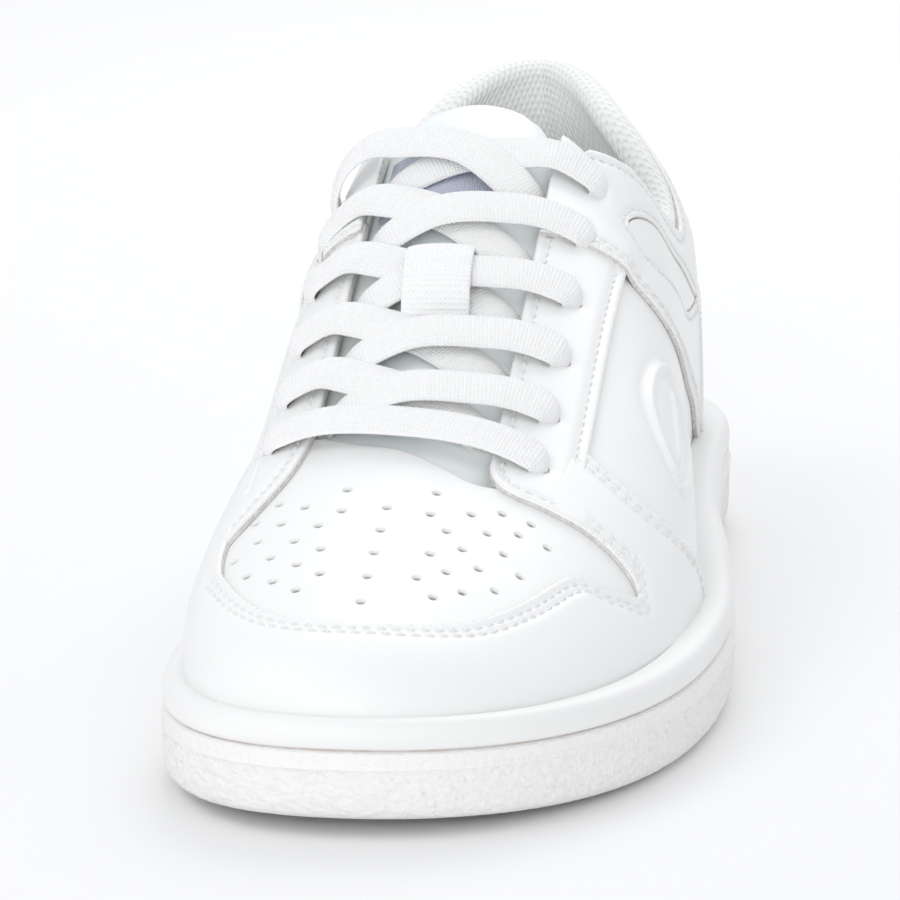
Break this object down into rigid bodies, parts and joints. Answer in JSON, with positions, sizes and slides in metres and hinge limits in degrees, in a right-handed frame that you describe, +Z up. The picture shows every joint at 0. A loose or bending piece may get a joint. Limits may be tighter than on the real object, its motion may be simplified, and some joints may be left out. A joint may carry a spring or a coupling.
{
  "type": "cheer shoe",
  "caption": "Low-top lace-up cheer shoe for the left foot: cup rubber sole, panelled leather upper, padded collar and tongue, flat lace.",
  "frame": {"origin": "on the ground under the middle of the sole's length, where the outsole rests", "axes": "+X to the outer (lateral) side, toe towards -Y, heel towards +Y, +Z up"},
  "size_m": [0.0994, 0.284, 0.096],
  "materials": {
    "sole_rubber": "matte moulded rubber, warm off-white",
    "rim_rubber": "smooth satin rubber, white",
    "midsole_foam": "closed-cell foam",
    "board": "pressed fibre board",
    "sockliner_cloth": "knit cloth on foam",
    "stiffener": "thermoplastic sheet",
    "leather": "smooth coated leather, cool white",
    "reinforcement": "woven tape",
    "lining_textile": "textile lining",
    "collar_mesh": "open mesh lining, slightly grey-green",
    "foam": "soft open-cell foam",
    "tongue_leather": "smooth bluish-white leather",
    "webbing": "ribbed webbing",
    "label_twill": "plain grey-blue twill, no lettering",
    "lace_cotton": "flat woven lace, pure white",
    "aglet": "clear-coated white plastic"
  },
  "bodies": {
    "shoe": {"outsole": "sole_rubber", "foxing_band": "rim_rubber", "midsole": "midsole_foam", "insole_board": "board", "toe_puff": "stiffener", "heel_counter": "stiffener", "vamp": "leather", "toe_cap": "leather", "heel_foxing": "leather", "heel_tab": "leather", "forefoot_lining": "lining_textile", "collar_foam": "foam", "collar_lining": "collar_mesh", "lace": "lace_cotton", "lace_aglets": "aglet", "quarter_lateral": "leather", "eyestay_lateral": "leather", "eyelet_reinforcement_lateral": "reinforcement", "collar_panel_lateral": "leather", "collar_insert_lateral": "leather", "quarter_lining_lateral": "lining_textile", "quarter_medial": "leather", "eyestay_medial": "leather", "eyelet_reinforcement_medial": "reinforcement", "collar_panel_medial": "leather", "collar_insert_medial": "leather", "quarter_lining_medial": "lining_textile"},
    "tongue": {"tongue_shell": "tongue_leather", "tongue_foam": "foam", "tongue_lining": "lining_textile", "tongue_lace_keeper": "webbing", "tongue_label": "label_twill"},
    "sockliner": {"sockliner": "sockliner_cloth"}
  },
  "joints": [
    {"name": "tongue_swing", "type": "hinge", "parent": "shoe", "child": "tongue", "pos_m": [-0.0108, -0.062, 0.043], "axis": [1, 0, 0], "range_deg": [-9, 0]},
    {"name": "sockliner_lift", "type": "hinge", "parent": "shoe", "child": "sockliner", "pos_m": [-0.0108, -0.13, 0.015], "axis": [1, 0, 0], "range_deg": [0, 5]}
  ]
}
